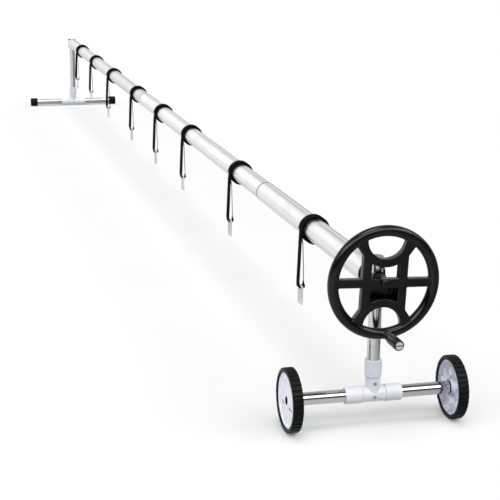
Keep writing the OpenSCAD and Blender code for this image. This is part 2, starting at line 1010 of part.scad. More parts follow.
// Stiff plastic clip that hangs in the loop and snaps onto the cover's edge
module strap_clip(i) {
    k = strap_section[i - 1];
    top = axis_h + clip_top;
    size = clip_size;
    slot_w = webbing_w + 2*slot_side;
    color("gainsboro")
        translate([strap_x[i - 1], clip_y(k), 0])
            difference() {
                translate([-size[0]/2, -size[1]/2, top - size[2]])
                    cube(size);
                translate([-slot_w/2, -size[1], top - clip_bar - clip_slot_h])
                    cube([slot_w, 2*size[1], clip_slot_h]);
                rod_y(-size[1], size[1], clip_hole_r, 0, top - size[2] + 14);
            }
}

near_post();
post_screw();
near_post_cap();
near_tee();
near_base_tube();
near_tee_screws();
near_bushes();
axle_plug_left();
axle_plug_right();
axle_bolt_left();
axle_bolt_right();
wheel_left();
tyre_left();
wheel_right();
tyre_right();
outer_tube();
outer_end_plug();
drive_shaft();
handwheel();
handwheel_bolt();
bolt_cap();
grip_spindle();
hand_grip();
outer_lock_screw();
strap_band_outer();
middle_tube();
middle_lock_screw();
strap_bands_middle();
inner_tube();
inner_end_plug();
far_shaft();
shaft_retainer();
strap_bands_inner();
far_post();
far_housing();
housing_bolts();
far_bushes();
far_tee();
far_tee_screws();
far_base_tube();
far_cap_left();
far_cap_right();
strap_tail(1);  // strap_tail_1
strap_tail(2);  // strap_tail_2
strap_tail(3);  // strap_tail_3
strap_tail(4);  // strap_tail_4
strap_tail(5);  // strap_tail_5
strap_tail(6);  // strap_tail_6
strap_tail(7);  // strap_tail_7
strap_tail(8);  // strap_tail_8
strap_clip(1);  // strap_clip_1
strap_clip(2);  // strap_clip_2
strap_clip(3);  // strap_clip_3
strap_clip(4);  // strap_clip_4
strap_clip(5);  // strap_clip_5
strap_clip(6);  // strap_clip_6
strap_clip(7);  // strap_clip_7
strap_clip(8);  // strap_clip_8
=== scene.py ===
"""Looks of a telescopic pool cover reel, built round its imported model.

Every length is in metres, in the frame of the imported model: +X runs along the tube towards the
handwheel, +Y across the stands and +Z upwards. Moulded pieces are softened copies of their CAD
nodes with their small details added. Webbing, the grip and the bolt's cap are modelled here. Every
other CAD node keeps its shape and gets a finish.
"""

import logging
import math
from dataclasses import dataclass, field
from enum import Enum
from typing import Callable, Iterable, Sequence

import bpy
from mathutils import Matrix, Quaternion, Vector


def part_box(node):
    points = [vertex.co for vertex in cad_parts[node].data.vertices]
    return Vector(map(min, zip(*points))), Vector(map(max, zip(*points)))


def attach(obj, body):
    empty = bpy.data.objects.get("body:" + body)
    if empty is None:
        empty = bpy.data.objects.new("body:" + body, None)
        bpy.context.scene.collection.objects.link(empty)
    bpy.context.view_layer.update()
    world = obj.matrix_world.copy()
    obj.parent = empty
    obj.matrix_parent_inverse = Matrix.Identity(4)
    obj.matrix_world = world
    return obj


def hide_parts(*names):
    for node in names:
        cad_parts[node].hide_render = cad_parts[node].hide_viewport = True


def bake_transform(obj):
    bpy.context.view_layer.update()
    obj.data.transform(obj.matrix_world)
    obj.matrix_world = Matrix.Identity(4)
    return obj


Colour = tuple[float, float, float]
Socket = bpy.types.NodeSocket
Shape = bpy.types.Object

log = logging.getLogger("reel")
MM = 0.001
MERGE_DISTANCE = 0.00001
EVEN = (1.0, 1.0, 1.0)

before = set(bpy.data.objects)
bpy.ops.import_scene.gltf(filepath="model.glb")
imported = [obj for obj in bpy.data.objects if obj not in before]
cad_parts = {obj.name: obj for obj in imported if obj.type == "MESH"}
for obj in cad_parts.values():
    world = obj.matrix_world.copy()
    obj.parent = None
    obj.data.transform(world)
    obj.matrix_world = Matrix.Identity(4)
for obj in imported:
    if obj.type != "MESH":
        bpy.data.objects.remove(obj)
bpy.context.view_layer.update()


class Axis(Enum):
    """Direction that a piece runs in."""

    X = 0
    Y = 1
    Z = 2

    def vector(self, length: float = 1.0) -> Vector:
        """Vector of that length along the axis."""
        return Vector([length if i == self.value else 0.0 for i in range(3)])


# ---------------------------------------------------------------- finishes


class Graph:
    """A material's node tree, with short calls for the nodes that the finishes share."""

    def __init__(self, name: str) -> None:
        """Starts a material with a Principled shader.

        Args:
            name: Name of the material.
        """
        self.material = bpy.data.materials.new(name)
        self.material.use_nodes = True
        self.tree = self.material.node_tree
        self.shader = self.tree.nodes["Principled BSDF"]

    def set(self, **values: object) -> None:
        """Sets the shader's own sockets.

        Args:
            values: Value for each socket; an underscore stands for a space in its name.
        """
        for name, value in values.items():
            socket = self.shader.inputs[name.replace("_", " ")]
            socket.default_value = (*value, 1.0) if isinstance(value, tuple) else value

    def link(self, source: Socket, target: Socket) -> None:
        """Joins two sockets."""
        self.tree.links.new(source, target)

    def place(self, scale: Sequence[float], uv: bool = False) -> Socket:
        """Object coordinates, or the piece's own UV map, stretched by scale.

        Args:
            scale: Factor along each axis.
            uv: True where the pattern follows the piece's UV map.

        Returns:
            The mapped vector.
        """
        source = self.tree.nodes.new("ShaderNodeTexCoord")
        mapping = self.tree.nodes.new("ShaderNodeMapping")
        mapping.inputs["Scale"].default_value = tuple(scale)
        self.link(source.outputs["UV" if uv else "Object"], mapping.inputs["Vector"])
        return mapping.outputs["Vector"]

    def noise(self, vector: Socket, scale: float, detail: float = 3.0, roughness: float = 0.5) -> Socket:
        """Adds a noise texture.

        Args:
            vector: Place that the noise is read at.
            scale: Lumps for each metre.
            detail: Number of finer layers.
            roughness: Weight of the finer layers.

        Returns:
            The noise, from 0 to 1.
        """
        node = self.tree.nodes.new("ShaderNodeTexNoise")
        node.inputs["Scale"].default_value = scale
        node.inputs["Detail"].default_value = detail
        node.inputs["Roughness"].default_value = roughness
        self.link(vector, node.inputs["Vector"])
        return node.outputs["Fac"]

    def wave(self, vector: Socket, scale: float, direction: str, distortion: float = 0.0) -> Socket:
        """Adds sine bands.

        Args:
            vector: Place that the bands are read at.
            scale: Bands for each unit of the vector.
            direction: X, Y, Z or DIAGONAL, across which the bands follow each other.
            distortion: Waviness of the bands.

        Returns:
            The bands, from 0 to 1.
        """
        node = self.tree.nodes.new("ShaderNodeTexWave")
        node.bands_direction = direction
        node.inputs["Scale"].default_value = scale
        node.inputs["Distortion"].default_value = distortion
        self.link(vector, node.inputs["Vector"])
        return node.outputs["Fac"]

    def math(self, operation: str, first: Socket, second: Socket | float = 0.0) -> Socket:
        """Adds a Math node.

        Args:
            operation: Name of the operation.
            first: First value.
            second: Second value, where the operation has one.

        Returns:
            The result.
        """
        node = self.tree.nodes.new("ShaderNodeMath")
        node.operation = operation
        self.link(first, node.inputs[0])
        if isinstance(second, float):
            node.inputs[1].default_value = second
        else:
            self.link(second, node.inputs[1])
        return node.outputs[0]

    def spread(self, value: Socket, low: float, high: float, start: float = 0.0, end: float = 1.0) -> Socket:
        """Maps a value onto a range, clamped.

        Args:
            value: The value.
            low: Result at start.
            high: Result at end.
            start: Value where the range begins.
            end: Value where it ends.

        Returns:
            The mapped value.
        """
        node = self.tree.nodes.new("ShaderNodeMapRange")
        node.inputs["From Min"].default_value = start
        node.inputs["From Max"].default_value = end
        node.inputs["To Min"].default_value = low
        node.inputs["To Max"].default_value = high
        self.link(value, node.inputs["Value"])
        return node.outputs["Result"]

    def mix(self, share: Socket, first: Colour | Socket, second: Colour) -> Socket:
        """Blends two colours.

        Args:
            share: Share of the second colour, from 0 to 1.
            first: First colour, or the socket that gives it.
            second: Second colour.

        Returns:
            The blend.
        """
        node = self.tree.nodes.new("ShaderNodeMix")
        node.data_type = "RGBA"
        self.link(share, node.inputs["Factor"])
        if isinstance(first, tuple):
            node.inputs["A"].default_value = (*first, 1.0)
        else:
            self.link(first, node.inputs["A"])
        node.inputs["B"].default_value = (*second, 1.0)
        return node.outputs["Result"]

    def part(self, vector: Socket, axis: Axis) -> Socket:
        """Takes one coordinate of a vector.

        Args:
            vector: The vector.
            axis: Axis of the coordinate.

        Returns:
            The coordinate.
        """
        node = self.tree.nodes.new("ShaderNodeSeparateXYZ")
        self.link(vector, node.inputs[0])
        return node.outputs[axis.value]

    def colour(self, source: Socket) -> None:
        """Feeds the base colour."""
        self.link(source, self.shader.inputs["Base Color"])

    def roughness(self, source: Socket) -> None:
        """Feeds the roughness."""
        self.link(source, self.shader.inputs["Roughness"])

    def bump(self, height: Socket, depth: float, strength: float = 1.0) -> None:
        """Feeds the normal from a height.

        Args:
            height: The height, from 0 to 1.
            depth: Depth in metres that a height of 1 stands for.
            strength: Share of the bump that is used.
        """
        node = self.tree.nodes.new("ShaderNodeBump")
        node.inputs["Strength"].default_value = strength
        node.inputs["Distance"].default_value = depth
        self.link(height, node.inputs["Height"])
        self.link(node.outputs["Normal"], self.shader.inputs["Normal"])


@dataclass(frozen=True)
class DrawnMetal:
    """Metal tube or bar with fine draw lines along it and faint handling marks."""

    name: str
    tint: Colour
    shade: Colour
    gloss: float
    along: Axis
    lines: float = 420.0
    line_depth: float = 0.00002
    squeeze: float = 0.02
    mark_scale: float = 9.0
    dark_band_tint: Colour = (0.012, 0.012, 0.013)
    dark_band_full: float = 8.0 * MM
    dark_band_faded: float = 10.5 * MM

    def build(self, dark_band_x: float | None = None) -> bpy.types.Material:
        """Makes the material.

        Args:
            dark_band_x: Place along X of a band that is painted darker, or None. On the grip's spindle that
                band is painted shade in the slot.

        Returns:
            The material.
        """
        graph = Graph(self.name)
        stretched = [self.squeeze if i == self.along.value else 1.0 for i in range(3)]
        fine = graph.noise(graph.place(stretched), self.lines, 4.0, 0.6)
        marks = graph.noise(graph.place(EVEN), self.mark_scale, 5.0, 0.65)
        worn = graph.math("MULTIPLY", fine, marks)
        tone = graph.mix(graph.spread(worn, 0.0, 1.0, 0.12, 0.42), self.tint, self.shade)
        # A band round dark_band_x is painted darker; on the grip's spindle this is painted shade in the slot.
        if dark_band_x is not None:
            along = graph.part(graph.place(EVEN), Axis.X)
            away = graph.math("ABSOLUTE", graph.math("SUBTRACT", along, dark_band_x))
            near = graph.spread(away, 1.0, 0.0, self.dark_band_full, self.dark_band_faded)
            tone = graph.mix(near, tone, self.dark_band_tint)
        graph.colour(tone)
        graph.roughness(graph.spread(worn, self.gloss * 0.85, self.gloss * 1.25, 0.1, 0.45))
        graph.set(Metallic=1.0, Anisotropic=0.35)
        graph.bump(fine, self.line_depth)
        return graph.material


@dataclass(frozen=True)
class MouldedPlastic:
    """Injection moulded plastic: an even colour with faint flow marks, and a fine spark-eroded grain. On the
    wheels the marks are partly painted shade: strong on the inner side and faint on the outer one.
    """

    name: str
    tint: Colour
    shade: Colour
    gloss: float
    grain: float = 900.0
    grain_depth: float = 0.00006
    flow: float = 14.0
    shine: float = 0.5
    # Narrow lines of painted shade at steps: width, strength and colour.
    step_shade_width: float = 1.4 * MM
    step_shade_share: float = 0.7
    step_shade_tint: Colour = (0.28, 0.28, 0.33)
    # Y distances over which the marks, partly painted shade, fall to a fifth; None keeps them even.
    painted_shade_fade: tuple[float, float] | None = None

    def build(self, step_shades: Sequence[tuple[Axis, float]] = ()) -> bpy.types.Material:
        """Makes the material.

        Args:
            step_shades: Axis and place of each narrow line of painted shade at a collar's step, the place
                without its sign.

        Returns:
            The material.
        """
        graph = Graph(self.name)
        place = graph.place(EVEN)
        flow = graph.noise(place, self.flow, 4.0, 0.6)
        grain = graph.noise(place, self.grain, 2.0, 0.5)
        marks = graph.spread(flow, 0.0, 1.0, 0.4, 0.62)
        # Painted shade: the marks stay full nearer the middle in Y and fall to a fifth beyond, so the inner
        # side looks shaded.
        if self.painted_shade_fade:
            away = graph.math("ABSOLUTE", graph.part(place, Axis.Y))
            marks = graph.math("MULTIPLY", marks, graph.spread(away, 1.0, 0.2, *self.painted_shade_fade))
        tone = graph.mix(marks, self.tint, self.shade)
        # Painted shade: a narrow dark line at each collar's step, where the step's shadow falls.
        for axis, distance in step_shades:
            away = graph.math("SUBTRACT", graph.math("ABSOLUTE", graph.part(place, axis)), distance)
            distance_off = graph.math("ABSOLUTE", away)
            near = graph.spread(distance_off, self.step_shade_share, 0.0, self.step_shade_width / 2, self.step_shade_width)
            tone = graph.mix(near, tone, self.step_shade_tint)
        graph.colour(tone)
        graph.roughness(graph.spread(flow, self.gloss * 0.88, self.gloss * 1.2, 0.3, 0.7))
        graph.set(Specular_IOR_Level=self.shine)
        graph.bump(grain, self.grain_depth)
        return graph.material


@dataclass(frozen=True)
class Rubber:
    """Dull rubber with a little dust in patches and a pitted surface."""

    name: str
    tint: Colour = (0.0015, 0.0015, 0.0017)
    dust: Colour = (0.006, 0.0059, 0.0055)
    gloss: float = 0.5
    shine: float = 0.1
    patch_scale: float = 26.0
    pit_scale: float = 650.0
    pit_depth: float = 0.00018

    def build(self) -> bpy.types.Material:
        """Makes the material.

        Returns:
            The material.
        """
        graph = Graph(self.name)
        place = graph.place(EVEN)
        patches = graph.noise(place, self.patch_scale, 5.0, 0.7)
        pits = graph.noise(place, self.pit_scale, 3.0, 0.6)
        graph.colour(graph.mix(graph.spread(patches, 0.0, 1.0, 0.5, 0.78), self.tint, self.dust))
        graph.roughness(graph.spread(patches, self.gloss, self.gloss + 0.3, 0.35, 0.7))
        graph.set(Specular_IOR_Level=self.shine)
        graph.bump(pits, self.pit_depth)
        return graph.material


@dataclass(frozen=True)
class Webbing:
    """Woven polypropylene webbing. Its UV map holds centimetres, across first and along second."""

    name: str
    yarn: Colour = (0.0008, 0.0008, 0.0009)
    worn: Colour = (0.0045, 0.0045, 0.0048)
    ribs: float = 4.2
    picks: float = 3.2
    fuzz_scale: float = 420.0
    fuzz_share: float = 0.4
    weave_depth: float = 0.00025
    shine: float = 0.03

    def build(self) -> bpy.types.Material:
        """Makes the material.

        Returns:
            The material.
        """
        graph = Graph(self.name)
        cloth = graph.place(EVEN, uv=True)
        ribs = graph.wave(cloth, self.ribs, "X")
        picks = graph.wave(cloth, self.picks, "Y", 0.4)
        weave = graph.math("MAXIMUM", ribs, picks)
        fuzz = graph.noise(graph.place(EVEN), self.fuzz_scale, 4.0, 0.7)
        height = graph.math("ADD", weave, graph.math("MULTIPLY", fuzz, self.fuzz_share))
        graph.colour(graph.mix(graph.spread(height, 0.0, 1.0, 0.5, 1.35), self.yarn, self.worn))
        graph.roughness(graph.spread(fuzz, 0.6, 0.85, 0.3, 0.7))
        graph.set(Specular_IOR_Level=self.shine)
        graph.bump(height, self.weave_depth)
        return graph.material


@dataclass(frozen=True)
class Finishes:
    """Every finish on the reel, made once."""

    stainless_up: bpy.types.Material
    stainless_across: bpy.types.Material
    stainless_matt: bpy.types.Material
    aluminium: Callable[[float | None], bpy.types.Material]
    worn_aluminium: Callable[[float | None], bpy.types.Material]
    white_pvc: Callable[[Sequence[tuple[Axis, float]]], bpy.types.Material]
    wheel_white: bpy.types.Material
    black_plastic: bpy.types.Material
    grip_plastic: bpy.types.Material
    grey_plastic: bpy.types.Material
    cap_rubber: bpy.types.Material
    tyre_rubber: bpy.types.Material
    chrome: Callable[[float | None], bpy.types.Material]
    bolt_steel: bpy.types.Material
    dark_steel: bpy.types.Material
    webbing: bpy.types.Material
    clip_plastic: bpy.types.Material

    @classmethod
    def make(cls) -> "Finishes":
        """Builds all materials but those that depend on a place, whose builders it keeps.

        Returns:
            The finishes.
        """
        steel, steel_shade = (0.66, 0.66, 0.67), (0.56, 0.56, 0.57)
        drawn = DrawnMetal("drawn_aluminium", (0.87, 0.87, 0.88), (0.77, 0.77, 0.78), 0.26, Axis.X, 300.0)
        worn = DrawnMetal("worn_aluminium", (0.76, 0.76, 0.77), (0.64, 0.64, 0.65), 0.3, Axis.X, 300.0)
        return cls(
            stainless_up=DrawnMetal("stainless_upright", steel, steel_shade, 0.16, Axis.Z).build(),
            stainless_across=DrawnMetal("stainless_cross_tube", steel, steel_shade, 0.12, Axis.Y).build(),
            stainless_matt=DrawnMetal(
                "stainless_matt", (0.44, 0.44, 0.45), (0.36, 0.36, 0.37), 0.2, Axis.Y).build(),
            aluminium=drawn.build,
            worn_aluminium=worn.build,
            white_pvc=MouldedPlastic("white_pvc", (0.62, 0.62, 0.68), (0.56, 0.56, 0.63), 0.38).build,
            # Wheel marks: partly flow marks, partly painted shade in the recesses of the inner side.
            wheel_white=MouldedPlastic(
                "wheel_nylon", (0.78, 0.79, 0.87), (0.36, 0.39, 0.50), 0.4, flow=42.0,
                painted_shade_fade=(0.249, 0.254)).build(),
            black_plastic=MouldedPlastic(
                "black_plastic", (0.0015, 0.0015, 0.0017), (0.004, 0.004, 0.0042), 0.16, shine=0.28).build(),
            grip_plastic=MouldedPlastic(
                "grip_plastic", (0.003, 0.003, 0.0033), (0.02, 0.02, 0.0203), 0.2, flow=90.0,
                shine=0.22).build(),
            # Grey plastic of the post cap, also used as painted shade in the wheel slots.
            grey_plastic=MouldedPlastic("grey_plastic", (0.17, 0.17, 0.18), (0.13, 0.13, 0.14), 0.42).build(),
            cap_rubber=Rubber("cap_rubber").build(),
            tyre_rubber=Rubber("tyre_rubber", gloss=0.3, shine=0.13).build(),
            chrome=DrawnMetal(
                "chrome", (0.98, 0.98, 0.98), (0.93, 0.93, 0.94), 0.07, Axis.X, 200.0, 0.000005).build,
            bolt_steel=DrawnMetal(
                "bolt_steel", (0.42, 0.42, 0.43), (0.30, 0.30, 0.31), 0.34, Axis.X, 500.0).build(),
            dark_steel=DrawnMetal(
                "dark_steel", (0.10, 0.10, 0.105), (0.06, 0.06, 0.063), 0.42, Axis.X, 500.0).build(),
            webbing=Webbing("black_webbing").build(),
            clip_plastic=MouldedPlastic("clip_plastic", (0.60, 0.61, 0.62), (0.48, 0.49, 0.50), 0.36).build(),
        )


# ---------------------------------------------------------------- modelling helpers


def only(*shapes: Shape) -> None:
    """Selects objects alone.

    Args:
        shapes: The objects; the first becomes the active one.
    """
    bpy.ops.object.select_all(action="DESELECT")
    for shape in shapes:
        shape.select_set(True)
    bpy.context.view_layer.objects.active = shapes[0]


def settle(shape: Shape) -> Shape:
    """Moves an object's place into its mesh, so that the object sits unturned at the origin.

    Args:
        shape: The object.

    Returns:
        The same object.
    """
    only(shape)
    bpy.ops.object.transform_apply(location=True, rotation=True, scale=True)
    return shape


def added(name: str, operator: Callable[..., set[str]], **settings: object) -> Shape:
    """Adds a primitive with nothing else selected, and settles it.

    Args:
        name: Name of the new piece.
        operator: One of bpy.ops.mesh.primitive_*_add.
        settings: The operator's own settings.

    Returns:
        The new object.
    """
    bpy.ops.object.select_all(action="DESELECT")
    operator(**settings)
    shape = bpy.context.active_object
    shape.name = name
    return settle(shape)


def block(name: str, low: Sequence[float], high: Sequence[float]) -> Shape:
    """Makes a box, to be shaped or joined further.

    Args:
        name: Name of the box.
        low: Its lowest corner.
        high: Its highest corner.

    Returns:
        The box.
    """
    centre = [(a + b) / 2 for a, b in zip(low, high)]
    size = [b - a for a, b in zip(low, high)]
    return added(name, bpy.ops.mesh.primitive_cube_add, size=1.0, location=centre, scale=size)


def ring(name: str, centre: Vector, axis: Axis, radius: float, thickness: float) -> Shape:
    """Makes a torus.

    Args:
        name: Name of the torus.
        centre: Its centre.
        axis: Axis that it goes round.
        radius: Radius of its middle line.
        thickness: Thickness of its section.

    Returns:
        The torus.
    """
    turn = axis.vector().to_track_quat("Z", "Y").to_euler()
    return added(
        name,
        bpy.ops.mesh.primitive_torus_add,
        major_segments=128,
        minor_segments=20,
        major_radius=radius,
        minor_radius=thickness / 2,
        location=centre,
        rotation=turn,
    )


def modified(shape: Shape, kind: str, **settings: object) -> Shape:
    """Adds one modifier and applies it.

    Args:
        shape: The object.
        kind: Type of the modifier.
        settings: The modifier's own settings.

    Returns:
        The same object.
    """
    only(shape)
    modifier = shape.modifiers.new(kind.lower(), kind)
    for key, value in settings.items():
        setattr(modifier, key, value)
    bpy.ops.object.modifier_apply(modifier=modifier.name)
    return shape


def joined(name: str, shapes: Sequence[Shape]) -> Shape:
    """Joins several objects into the first.

    Args:
        name: New name of the first object.
        shapes: The objects.

    Returns:
        The first object.
    """
    only(*shapes)
    if len(shapes) > 1:
        bpy.ops.object.join()
    shapes[0].name = name
    return shapes[0]


def smoothed(shape: Shape, degrees: float = 35.0) -> Shape:
    """Shades a piece smooth and leaves its sharp edges sharp.

    Args:
        shape: The object.
        degrees: Angle from which an edge counts as sharp.

    Returns:
        The same object.
    """
    only(shape)
    bpy.ops.object.shade_smooth_by_angle(angle=math.radians(degrees))
    return shape


def turned_about(shape: Shape, centre: Vector, axis: Axis, degrees: float) -> Shape:
    """Turns a mesh about an axis through a centre.

    Args:
        shape: The object.
        centre: Point on the axis.
        axis: Direction of the axis.
        degrees: Angle of the turn.

    Returns:
        The same object.
    """
    turn = Matrix.Rotation(math.radians(degrees), 4, axis.name)
    move = Matrix.Translation(centre) @ turn @ Matrix.Translation(-centre)
    shape.data.transform(move)
    return shape


def copy_of(shape: Shape, name: str, shift: Vector) -> Shape:
    """Copies a piece, with a mesh of its own.

    Args:
        shape: The pattern.
        name: Name of the copy.
        shift: Shift of the copy.

    Returns:
        The copy.
    """
    other = shape.copy()
    other.data = shape.data.copy()
    other.name = name
    bpy.context.scene.collection.objects.link(other)
    other.data.transform(Matrix.Translation(shift))
    return other


def copy_of_node(node: str, name: str) -> Shape:
    """Copies a CAD node and merges the copy's doubles; the node itself stays as it is.

    Args:
        node: The node's name.
        name: Name of the copy.

    Returns:
        The copy.
    """
    shape = bpy.data.objects.new(name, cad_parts[node].data.copy())
    bpy.context.scene.collection.objects.link(shape)
    only(shape)
    bpy.ops.object.mode_set(mode="EDIT")
    bpy.ops.mesh.select_all(action="SELECT")
    bpy.ops.mesh.remove_doubles(threshold=MERGE_DISTANCE)
    bpy.ops.object.mode_set(mode="OBJECT")
    return shape


def moulded(name: str, shapes: Sequence[Shape], voxel: float, rounds: int) -> Shape:
    """Fuses closed shapes into one moulding with softly rounded edges and filleted corners.

    Args:
        name: Name of the piece.
        shapes: Closed meshes that overlap or stand alone.
        voxel: Size of the grid that the moulding is taken from.
        rounds: Number of smoothing passes.

    Returns:
        The moulding.
    """
    shape = joined(name, shapes)
    modified(shape, "REMESH", mode="VOXEL", voxel_size=voxel, adaptivity=0.0, use_smooth_shade=True)
    modified(shape, "SMOOTH", factor=0.5, iterations=rounds)
    return smoothed(shape, 60.0)


def spun(name: str, profile: Sequence[tuple[float, float]], start: Vector, sides: int = 72) -> Shape:
    """Closed ring-shaped solid, spun about a line along X.

    Args:
        name: Name of the piece.
        profile: Closed outline as distance along X and radius, in metres.
        start: Point on the line where the distance is 0.
        sides: Number of steps round.

    Returns:
        The solid.
    """
    place, radius = profile[0]
    shape = added(
        name,
        bpy.ops.mesh.primitive_circle_add,
        vertices=sides,
        radius=radius,
        location=start + Vector((place, 0.0, 0.0)),
        rotation=(0.0, math.pi / 2, 0.0),
    )
    only(shape)
    bpy.ops.object.mode_set(mode="EDIT")
    bpy.ops.mesh.select_mode(type="EDGE")
    bpy.ops.mesh.select_all(action="SELECT")
    for next_place, next_radius in profile[1:]:
        step = (next_place - place, 0.0, 0.0)
        bpy.ops.mesh.extrude_edges_move(TRANSFORM_OT_translate={"value": step})
        bpy.ops.transform.resize(
            value=(1.0, next_radius / radius, next_radius / radius),
            center_override=start + Vector((next_place, 0.0, 0.0)),
        )
        place, radius = next_place, next_radius
    bpy.ops.mesh.select_all(action="DESELECT")
    bpy.ops.mesh.select_non_manifold()
    bpy.ops.mesh.bridge_edge_loops()
    bpy.ops.mesh.select_all(action="SELECT")
    bpy.ops.mesh.normals_make_consistent(inside=False)
    bpy.ops.object.mode_set(mode="OBJECT")
    return shape


def dressed(shape: Shape, material: bpy.types.Material, slot: str, body: str, *nodes: str) -> Shape:
    """Gives a piece its finish and body, and lets it stand for CAD nodes.

    Args:
        shape: The piece.
        material: Its finish.
        slot: Not used.
        body: Body that it rides on, or an empty name, which leaves it unattached.
        nodes: CAD nodes that it stands for.

    Returns:
        The same piece.
    """
    shape.data.materials.clear()
    shape.data.materials.append(material)
    if body:
        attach(shape, body)
    if nodes:
        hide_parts(*nodes)
    log.info("%s: %d faces", shape.name, len(shape.data.polygons))
    return shape


def repaint(material: bpy.types.Material, nodes: Iterable[str]) -> None:
    """Gives a finish to CAD nodes that keep their shape.

    Args:
        material: The finish.
        nodes: The nodes' names.
    """
    for node in nodes:
        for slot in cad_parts[node].material_slots:
            slot.material = material
        log.info("%s keeps its shape", node)


# ---------------------------------------------------------------- stands


@dataclass
class Stands:
    """Both T stands: stainless tubes, plastic tees, bearing housing, caps and screws."""

    finishes: Finishes
    tee_voxel: float = 1.2 * MM
    collar: float = 50.0 * MM
    stem_collar: float = 1.6 * MM
    housing_voxel: float = 1.0 * MM
    cap_voxel: float = 1.3 * MM
    rib_places: tuple[float, ...] = (-0.3, 0.0, 0.3)
    rib: float = 3.2 * MM

    def build(self) -> None:
        """Makes the mouldings and paints the tubes and screws."""
        done = self.finishes
        for node, body in (("near_tee", "near_stand"), ("far_tee", "far_stand")):
            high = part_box(node)[1]
            # Painted shade lines at the inner end of each collar.
            step_shades = [(Axis.Y, high.y - self.collar), (Axis.Z, high.z - self.collar - self.stem_collar)]
            shape = moulded(f"{node}_moulding", [copy_of_node(node, node + "_copy")], self.tee_voxel, 2)
            dressed(shape, done.white_pvc(step_shades), "white_pvc", body, node)
        housing = copy_of_node("far_housing", "housing_copy")
        shape = moulded("far_housing_moulding", [housing], self.housing_voxel, 5)
        dressed(shape, done.white_pvc(()), "white_pvc", "far_stand", "far_housing")
        for side in ("left", "right"):
            node = f"far_cap_{side}"
            shape = moulded(f"{node}_moulding", [copy_of_node(node, node + "_copy"), *self.cap_ribs(node)],
                            self.cap_voxel, 4)
            dressed(shape, done.cap_rubber, "black_rubber", "far_stand", node)
        repaint(done.stainless_up, ["near_post", "far_post"])
        repaint(done.stainless_across, ["near_base_tube"])
        repaint(done.stainless_matt, ["far_base_tube"])
        repaint(done.bolt_steel, ["near_tee_screws", "far_tee_screws"])
        repaint(done.dark_steel, ["post_screw", "axle_bolt_left", "axle_bolt_right"])
        repaint(done.grey_plastic, ["near_post_cap"])
        repaint(done.black_plastic, ["near_bushes", "far_bushes", "housing_bolts"])
        repaint(done.cap_rubber, ["axle_plug_left", "axle_plug_right"])

    def cap_ribs(self, node: str) -> list[Shape]:
        """Makes three shallow bands round a rubber end cap. They cross its flat underside by under 1 mm.

        Args:
            node: The cap's CAD node.

        Returns:
            The bands.
        """
        low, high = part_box(node)
        middle = (low + high) / 2
        radius = (high.x - low.x) / 2
        height = high.z - radius
        ribs = []
        for share in self.rib_places:
            spot = Vector((middle.x, middle.y + share * (high.y - low.y), height))
            ribs.append(ring(f"rib_{round(spot.y / MM)}", spot, Axis.Y, radius - self.rib / 2, self.rib))
        return ribs


# ---------------------------------------------------------------- road wheels


